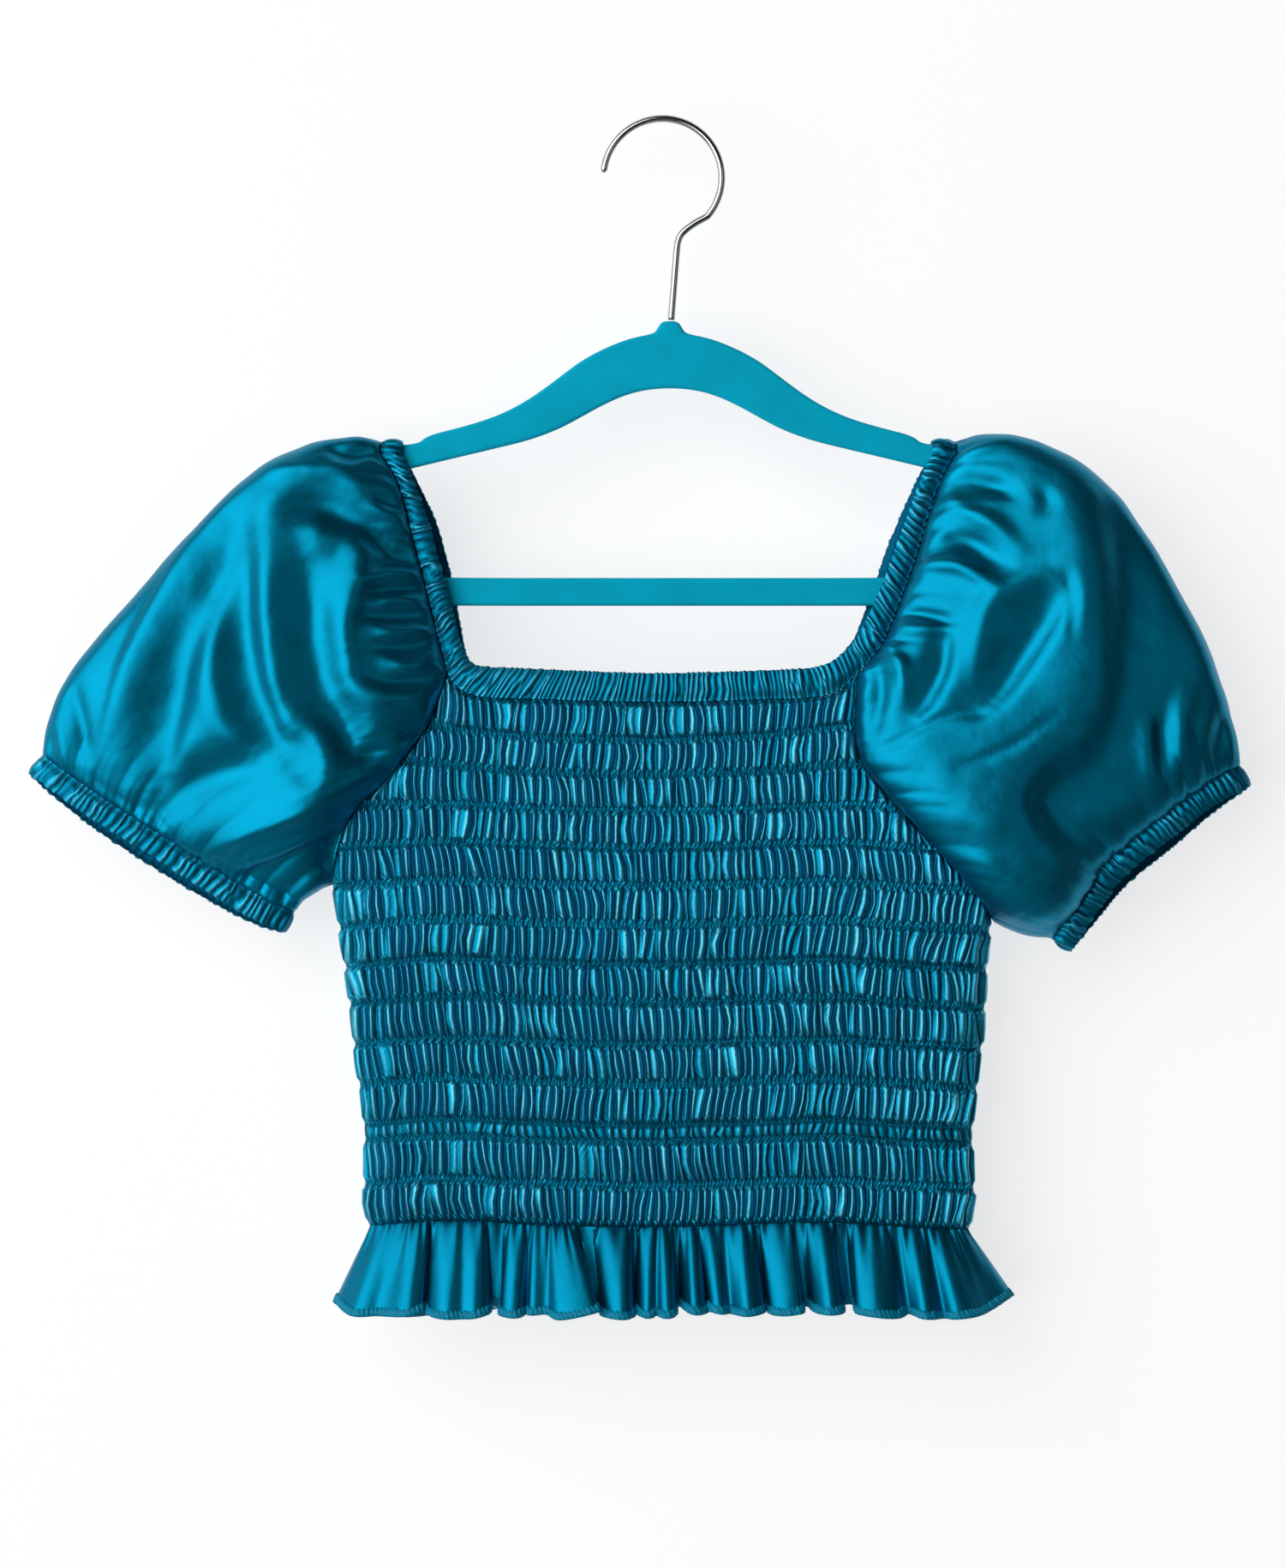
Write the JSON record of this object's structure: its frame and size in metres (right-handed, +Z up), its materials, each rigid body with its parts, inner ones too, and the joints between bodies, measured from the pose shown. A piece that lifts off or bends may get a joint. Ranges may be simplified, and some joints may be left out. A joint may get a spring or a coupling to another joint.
{
  "type": "smocked ruffle top on a hanger",
  "caption": "Short-sleeved satin top with a shirred body, square neck, puff sleeves in gathered cuffs and a hem ruffle, hung on a slim flocked hanger with a wire hook.",
  "frame": {"origin": "the highest point inside the hook's bend, where it hangs on a rail", "axes": "+Z up, the front of the top faces -Y, and +X runs to the right as seen from the front"},
  "size_m": [0.5718, 0.0614, 0.56],
  "materials": {
    "satin": "teal polyester satin with a soft sheen",
    "velvet": "moulded plastic with a short velvet flock",
    "chrome": "polished plated wire"
  },
  "bodies": {
    "root": {"bodice_front": "satin", "bodice_back": "satin", "neck_casing": "satin", "sleeve_left": "satin", "sleeve_right": "satin", "cuff_left": "satin", "cuff_right": "satin", "hem_ruffle": "satin", "hanger": "velvet", "hook": "chrome"}
  },
  "joints": []
}
